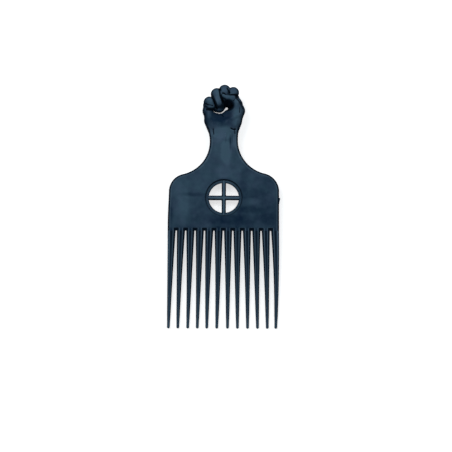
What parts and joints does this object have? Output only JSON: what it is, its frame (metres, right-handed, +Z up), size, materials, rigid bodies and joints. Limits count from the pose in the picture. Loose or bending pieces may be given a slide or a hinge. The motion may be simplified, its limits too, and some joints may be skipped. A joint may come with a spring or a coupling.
{
  "type": "afro pick",
  "caption": "Flat hair pick with long tapered tines, a round window with a plus-shaped cross and a handle that ends in a raised fist; it lifts and combs out curly hair.",
  "frame": {"origin": "centre of the bottom face of the bounding box, with the pick lying on its back, palm side up", "axes": "+Y along the pick from the tine tips to the fist, +X across the plate to the thumb's side, +Z up out of the palm"},
  "size_m": [0.0754, 0.1647, 0.014],
  "materials": {
    "black_plastic": "satin blue-black injection-moulded plastic with soft flow marks"
  },
  "bodies": {
    "root": {"palm": "black_plastic", "thumb": "black_plastic", "index_finger": "black_plastic", "middle_finger": "black_plastic", "ring_finger": "black_plastic", "little_finger": "black_plastic", "wrist": "black_plastic", "blade": "black_plastic", "window_ring": "black_plastic", "window_cross": "black_plastic", "gate_stub": "black_plastic", "tine_bar": "black_plastic", "tine_01": "black_plastic", "tine_02": "black_plastic", "tine_03": "black_plastic", "tine_04": "black_plastic", "tine_05": "black_plastic", "tine_06": "black_plastic", "tine_07": "black_plastic", "tine_08": "black_plastic", "tine_09": "black_plastic", "tine_10": "black_plastic", "tine_11": "black_plastic", "tine_12": "black_plastic"}
  },
  "joints": []
}
